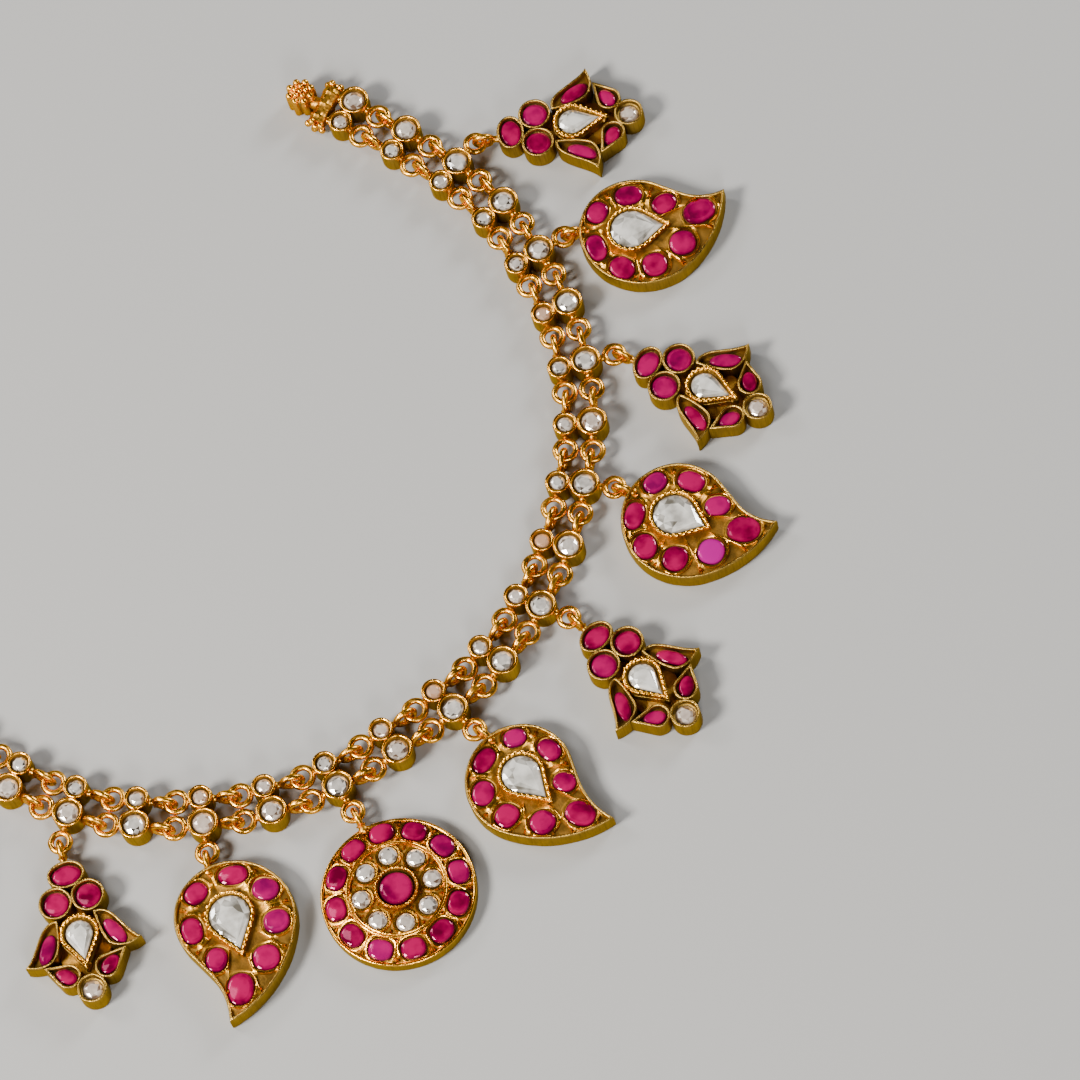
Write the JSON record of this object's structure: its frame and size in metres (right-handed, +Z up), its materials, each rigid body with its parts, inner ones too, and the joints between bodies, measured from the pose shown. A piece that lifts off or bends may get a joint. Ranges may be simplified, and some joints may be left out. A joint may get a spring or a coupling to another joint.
{
  "type": "kundan necklace",
  "caption": "Gold collar necklace of paired stone collets on interlocking rings, hung with lotus and mango drops and a round medallion, laid open.",
  "frame": {"origin": "on the surface that the necklace lies on, under the middle of its bounding box", "axes": "+X to the right across the laid necklace, +Y from the medallion towards the open ends, +Z up out of the stones"},
  "size_m": [0.2306, 0.184, 0.0058],
  "materials": {
    "gold": "satin yellow gold",
    "ruby": "polished, foil-backed",
    "polki": "polished, foil-backed",
    "diamond": "polished, foil-backed"
  },
  "bodies": {
    "root": {"eye_end_link": "gold", "chain_link_01": "gold", "chain_link_02": "gold", "chain_link_03": "gold", "chain_link_04": "gold", "chain_link_05": "gold", "chain_link_06": "gold", "chain_link_07": "gold", "chain_link_08": "gold", "chain_link_09": "gold", "chain_link_10": "gold", "chain_link_11": "gold", "chain_link_12": "gold", "chain_link_13": "gold", "chain_link_14": "gold", "chain_link_15": "gold", "chain_link_16": "gold", "chain_link_17": "gold", "chain_link_18": "gold", "chain_link_19": "gold", "chain_link_20": "gold", "chain_link_21": "gold", "chain_link_22": "gold", "chain_link_23": "gold", "chain_link_24": "gold", "chain_link_25": "gold", "chain_link_26": "gold", "chain_link_27": "gold", "clasp_end_link": "gold", "medallion_setting": "gold", "mango_setting_1": "gold", "mango_setting_2": "gold", "mango_setting_3": "gold", "mango_setting_4": "gold", "mango_setting_5": "gold", "mango_setting_6": "gold", "lotus_setting_1": "gold", "lotus_setting_2": "gold", "lotus_setting_3": "gold", "lotus_setting_4": "gold", "lotus_setting_5": "gold", "lotus_setting_6": "gold", "medallion_centre_ruby": "ruby", "medallion_rubies": "ruby", "mango_rubies": "ruby", "lotus_rubies": "ruby", "mango_polki_1": "polki", "mango_polki_2": "polki", "mango_polki_3": "polki", "mango_polki_4": "polki", "mango_polki_5": "polki", "mango_polki_6": "polki", "lotus_polki_1": "polki", "lotus_polki_2": "polki", "lotus_polki_3": "polki", "lotus_polki_4": "polki", "lotus_polki_5": "polki", "lotus_polki_6": "polki", "drop_diamonds": "diamond", "chain_diamonds": "diamond"}
  },
  "joints": []
}
